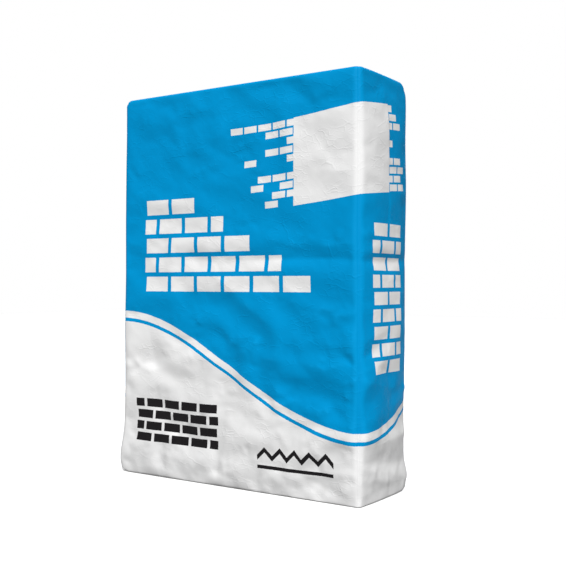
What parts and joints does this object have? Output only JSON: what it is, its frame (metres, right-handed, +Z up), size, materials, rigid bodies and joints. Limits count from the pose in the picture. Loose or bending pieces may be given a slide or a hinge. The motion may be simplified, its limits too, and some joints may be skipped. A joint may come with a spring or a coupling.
{
  "type": "cement bag",
  "caption": "Full block-ended paper valve sack of cement, standing upright on its bottom end, with creased edges and a spread foot.",
  "frame": {"origin": "on the floor, at the middle of the bottom end patch", "axes": "+Z up along the bag's height, -Y out of the broad front panel, +X out of the narrow right panel"},
  "size_m": [0.4528, 0.1514, 0.6],
  "materials": {
    "printed_paper": "satin, printed blue on white",
    "cement": "matte powder",
    "patch_paper": "matte",
    "sleeve_paper": "matte"
  },
  "bodies": {
    "root": {"paper_sack": "printed_paper", "cement_fill": "cement", "top_patch": "patch_paper", "bottom_patch": "patch_paper", "valve_sleeve": "sleeve_paper"}
  },
  "joints": []
}
